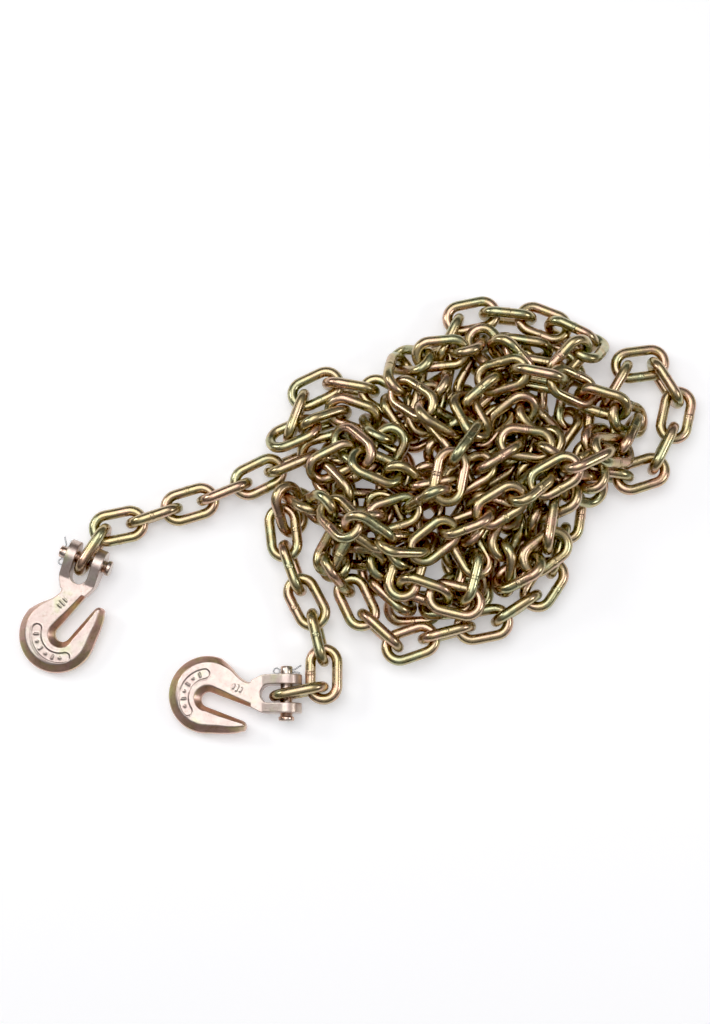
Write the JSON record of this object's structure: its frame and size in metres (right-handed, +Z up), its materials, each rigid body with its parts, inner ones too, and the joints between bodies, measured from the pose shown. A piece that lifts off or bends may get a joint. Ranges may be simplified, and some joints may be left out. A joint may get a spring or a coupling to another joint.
{
  "type": "load binder chain",
  "caption": "Binder chain of welded round-wire links lying in a loose heap, with a forged clevis grab hook pinned to each end by a headed clevis pin and split pin.",
  "frame": {"origin": "bottom centre of the whole as it lies on a flat floor", "axes": "+X along the long side of the heap and away from the hooks, +Y across the floor towards the heap's far side, +Z up"},
  "size_m": [0.6144, 0.402, 0.0847],
  "materials": {
    "chain": "gold to olive iridescent chromate over zinc",
    "hook": "pinkish copper iridescent chromate over zinc, on rough forged steel",
    "clevis_pin": "iridescent chromate over zinc",
    "cotter": "bright zinc"
  },
  "bodies": {
    "heap": {"heap_run_lower_1": "chain", "heap_run_lower_2": "chain", "heap_run_lower_3": "chain", "heap_run_middle_1": "chain", "heap_run_middle_2": "chain", "heap_run_middle_3": "chain", "heap_run_upper_1": "chain", "heap_run_upper_2": "chain", "link_007": "chain", "link_008": "chain", "link_035": "chain", "link_036": "chain", "link_037": "chain", "link_038": "chain", "link_066": "chain", "link_067": "chain", "link_068": "chain", "link_069": "chain", "link_070": "chain", "link_098": "chain", "link_099": "chain", "link_100": "chain", "link_101": "chain", "link_102": "chain", "link_103": "chain", "link_104": "chain", "link_105": "chain", "link_132": "chain", "link_133": "chain", "link_134": "chain", "link_135": "chain", "link_136": "chain", "link_137": "chain", "link_138": "chain", "link_139": "chain", "link_140": "chain"},
    "link_006": {"link_006": "chain"},
    "link_005": {"link_005": "chain"},
    "link_004": {"link_004": "chain"},
    "link_003": {"link_003": "chain"},
    "link_002": {"link_002": "chain"},
    "link_001": {"link_001": "chain"},
    "hook_a": {"hook_a": "hook"},
    "pin_a": {"clevis_pin_a": "clevis_pin", "cotter_a": "cotter"},
    "link_169": {"link_169": "chain"},
    "link_170": {"link_170": "chain"},
    "link_171": {"link_171": "chain"},
    "link_172": {"link_172": "chain"},
    "link_173": {"link_173": "chain"},
    "link_174": {"link_174": "chain"},
    "hook_b": {"hook_b": "hook"},
    "pin_b": {"clevis_pin_b": "clevis_pin", "cotter_b": "cotter"}
  },
  "joints": [
    {"name": "link_006_lift", "type": "hinge", "parent": "heap", "child": "link_006", "pos_m": [-0.07263, 0.04188, 0.01585], "axis": [-0.4547, 0.8907, 0], "range_deg": [0, 24]},
    {"name": "link_005_swing", "type": "hinge", "parent": "link_006", "child": "link_005", "pos_m": [-0.10267, 0.0265, 0.01674], "axis": [0, 0, 1], "range_deg": [-40, 10]},
    {"name": "link_004_lift", "type": "hinge", "parent": "link_005", "child": "link_004", "pos_m": [-0.13324, 0.01268, 0.01667], "axis": [-0.2891, 0.9573, 0], "range_deg": [0, 30]},
    {"name": "link_003_swing", "type": "hinge", "parent": "link_004", "child": "link_003", "pos_m": [-0.16555, 0.00293, 0.01688], "axis": [0, 0, -1], "range_deg": [-25, 40]},
    {"name": "link_002_lift", "type": "hinge", "parent": "link_003", "child": "link_002", "pos_m": [-0.19695, -0.00934, 0.01682], "axis": [-0.2017, 0.9795, 0], "range_deg": [0, 30]},
    {"name": "link_001_swing", "type": "hinge", "parent": "link_002", "child": "link_001", "pos_m": [-0.23006, -0.01616, 0.017], "axis": [0, 0, 1], "range_deg": [-90, 20]},
    {"name": "hook_a_lift", "type": "hinge", "parent": "link_001", "child": "hook_a", "pos_m": [-0.24767, -0.04501, 0.0171], "axis": [-0.9373, 0.3486, 0], "range_deg": [0, 100]},
    {"name": "pin_a_spin", "type": "hinge", "parent": "hook_a", "child": "pin_a", "pos_m": [-0.24767, -0.04501, 0.0171], "axis": [0.9373, -0.3486, 0], "continuous": true},
    {"name": "link_169_lift", "type": "hinge", "parent": "heap", "child": "link_169", "pos_m": [-0.07234, 0.00255, 0.01712], "axis": [-0.9934, -0.1149, 0], "range_deg": [0, 30]},
    {"name": "link_170_swing", "type": "hinge", "parent": "link_169", "child": "link_170", "pos_m": [-0.06857, -0.031, 0.01674], "axis": [0, 0, 1], "range_deg": [-30, 6]},
    {"name": "link_171_lift", "type": "hinge", "parent": "link_170", "child": "link_171", "pos_m": [-0.05893, -0.06322, 0.01667], "axis": [-0.8859, -0.464, 0], "range_deg": [0, 30]},
    {"name": "link_172_swing", "type": "hinge", "parent": "link_171", "child": "link_172", "pos_m": [-0.04322, -0.0931, 0.01688], "axis": [0, 0, 1], "range_deg": [-40, 20]},
    {"name": "link_173_lift", "type": "hinge", "parent": "link_172", "child": "link_173", "pos_m": [-0.03277, -0.12546, 0.01682], "axis": [-1, 0.0037, 0], "range_deg": [0, 30]},
    {"name": "link_174_swing", "type": "hinge", "parent": "link_173", "child": "link_174", "pos_m": [-0.03289, -0.15926, 0.017], "axis": [0, 0, 1], "range_deg": [-5, 90]},
    {"name": "hook_b_lift", "type": "hinge", "parent": "link_174", "child": "hook_b", "pos_m": [-0.06607, -0.16571, 0.0171], "axis": [0, 1, 0], "range_deg": [0, 100]},
    {"name": "pin_b_spin", "type": "hinge", "parent": "hook_b", "child": "pin_b", "pos_m": [-0.06607, -0.16571, 0.0171], "axis": [0, -1, 0], "continuous": true}
  ]
}
